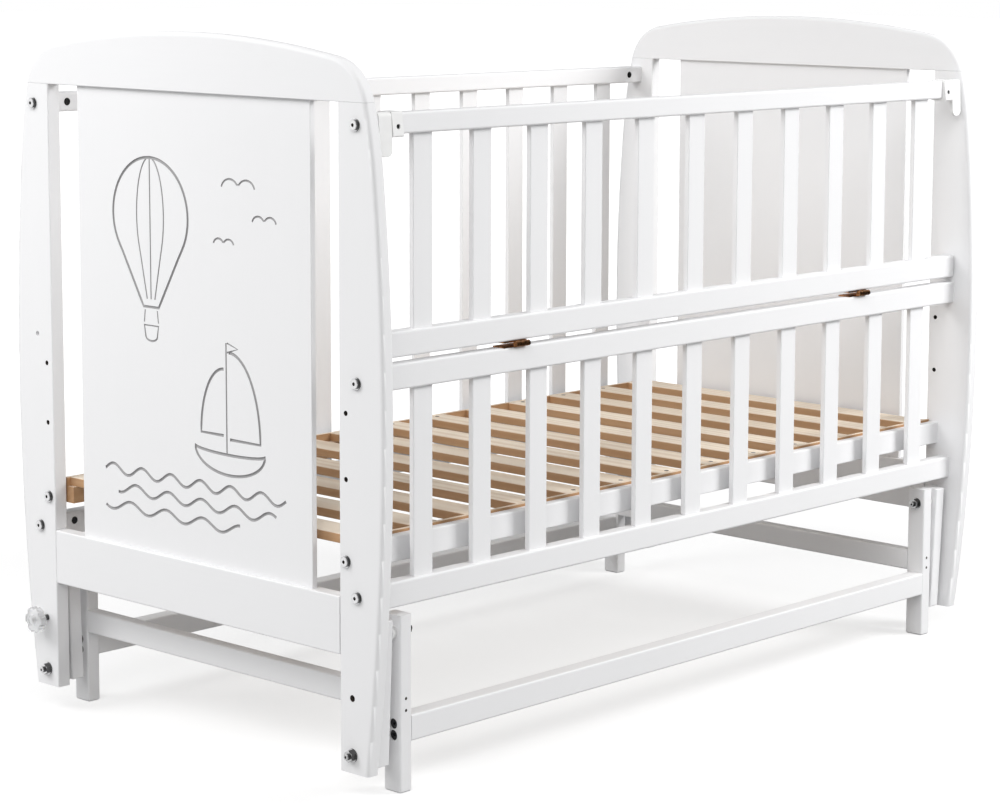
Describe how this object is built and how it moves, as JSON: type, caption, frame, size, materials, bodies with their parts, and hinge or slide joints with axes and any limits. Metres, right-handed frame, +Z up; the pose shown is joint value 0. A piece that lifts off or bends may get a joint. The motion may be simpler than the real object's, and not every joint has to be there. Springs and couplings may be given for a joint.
{
  "type": "swinging slatted cot",
  "caption": "White painted wooden baby cot, swinging on four links in a low standing frame, with solid arched ends, slatted sides, a fold-down half and a natural slatted bed base.",
  "frame": {"origin": "on the floor under the middle of the bounding box", "axes": "+X along the mattress, +Y from the fold-down side to the fixed side, +Z up"},
  "size_m": [1.298, 0.709, 0.9254],
  "materials": {
    "white_paint": "satin",
    "natural_wood": "matte",
    "zinc_steel": "satin",
    "brass": "satin",
    "white_plastic": "gloss",
    "clear_plastic": "gloss",
    "dark_steel": "satin"
  },
  "bodies": {
    "base": {"cross_rail_left": "white_paint", "cross_rail_right": "white_paint", "cross_rail_screws": "dark_steel", "leg_far_left": "white_paint", "leg_far_right": "white_paint", "leg_near_left": "white_paint", "leg_near_right": "white_paint", "stretcher_bolts": "dark_steel", "stretcher_far": "white_paint", "stretcher_near": "white_paint", "upper_pivot_bolts": "zinc_steel", "upper_pivot_bushes": "white_plastic", "upper_pivot_nuts": "zinc_steel"},
    "link_near_left": {"link_near_left": "white_paint"},
    "link_near_right": {"link_near_right": "white_paint"},
    "link_far_left": {"link_far_left": "white_paint"},
    "link_far_right": {"link_far_right": "white_paint"},
    "drop_side": {"drop_lower_rail": "white_paint", "drop_slats": "white_paint", "drop_top_rail": "white_paint", "hinge_moving_leaves": "brass", "latch_blocks": "white_plastic", "latch_pins": "zinc_steel", "latch_screws": "dark_steel"},
    "latch_lever_left": {"latch_lever_left": "white_plastic"},
    "lock_knob_left": {"lock_knob_left": "clear_plastic", "lock_stud_left": "zinc_steel"},
    "latch_lever_right": {"latch_lever_right": "white_plastic"},
    "lock_knob_right": {"lock_knob_right": "clear_plastic", "lock_stud_right": "zinc_steel"},
    "cot": {"barrel_nuts": "zinc_steel", "bed_batten_far": "natural_wood", "bed_batten_near": "natural_wood", "bed_rail_far": "white_paint", "bed_rail_near": "white_paint", "bed_slats": "natural_wood", "end_board_left": "white_paint", "end_board_right": "white_paint", "end_cap_left": "white_paint", "end_cap_right": "white_paint", "end_dowels": "natural_wood", "end_panel_left": "white_paint", "end_panel_right": "white_paint", "far_bottom_rail": "white_paint", "far_slats": "white_paint", "far_top_rail": "white_paint", "frame_bolts": "zinc_steel", "frame_washers": "zinc_steel", "hinge_fixed_halves": "brass", "latch_catches": "zinc_steel", "lower_pivot_bolts": "zinc_steel", "lower_pivot_bushes": "white_plastic", "lower_pivot_nuts": "zinc_steel", "near_bottom_rail": "white_paint", "near_lower_slats": "white_paint", "near_mid_rail": "white_paint", "post_far_left": "white_paint", "post_far_right": "white_paint", "post_near_left": "white_paint", "post_near_right": "white_paint"}
  },
  "joints": [
    {"name": "swing_near_left", "type": "hinge", "parent": "base", "child": "link_near_left", "pos_m": [-0.583, -0.3055, 0.202], "axis": [1, 0, 0], "range_deg": [-10, 10]},
    {"name": "swing_near_right", "type": "hinge", "parent": "base", "child": "link_near_right", "pos_m": [0.583, -0.3055, 0.202], "axis": [1, 0, 0], "range_deg": [-10, 10]},
    {"name": "swing_far_left", "type": "hinge", "parent": "base", "child": "link_far_left", "pos_m": [-0.583, 0.3055, 0.202], "axis": [1, 0, 0], "range_deg": [-10, 10]},
    {"name": "swing_far_right", "type": "hinge", "parent": "base", "child": "link_far_right", "pos_m": [0.583, 0.3055, 0.202], "axis": [1, 0, 0], "range_deg": [-10, 10]},
    {"name": "cot_level", "type": "hinge", "parent": "link_near_left", "child": "cot", "pos_m": [-0.583, -0.2995, 0.058], "axis": [1, 0, 0], "range_deg": [-10.5, 10.5]},
    {"name": "side_fold", "type": "hinge", "parent": "cot", "child": "drop_side", "pos_m": [0, -0.3256, 0.53875], "axis": [1, 0, 0], "range_deg": [0, 175]},
    {"name": "latch_left", "type": "hinge", "parent": "drop_side", "child": "latch_lever_left", "pos_m": [-0.58975, -0.3195, 0.832], "axis": [-1, 0, 0], "range_deg": [0, 35], "stiffness_Nm_per_rad": 0.02},
    {"name": "knob_left", "type": "slide", "parent": "cot", "child": "lock_knob_left", "axis": [-1, 0, 0], "range_m": [0, 0.025]},
    {"name": "latch_right", "type": "hinge", "parent": "drop_side", "child": "latch_lever_right", "pos_m": [0.58975, -0.3195, 0.832], "axis": [-1, 0, 0], "range_deg": [0, 35], "stiffness_Nm_per_rad": 0.02},
    {"name": "knob_right", "type": "slide", "parent": "cot", "child": "lock_knob_right", "axis": [1, 0, 0], "range_m": [0, 0.025]}
  ],
  "couplings": [
    {"joint": "swing_near_right", "follows": "swing_near_left", "ratio": 1},
    {"joint": "swing_far_left", "follows": "swing_near_left", "ratio": 1},
    {"joint": "swing_far_right", "follows": "swing_near_left", "ratio": 1},
    {"joint": "cot_level", "follows": "swing_near_left", "ratio": -1.02}
  ]
}
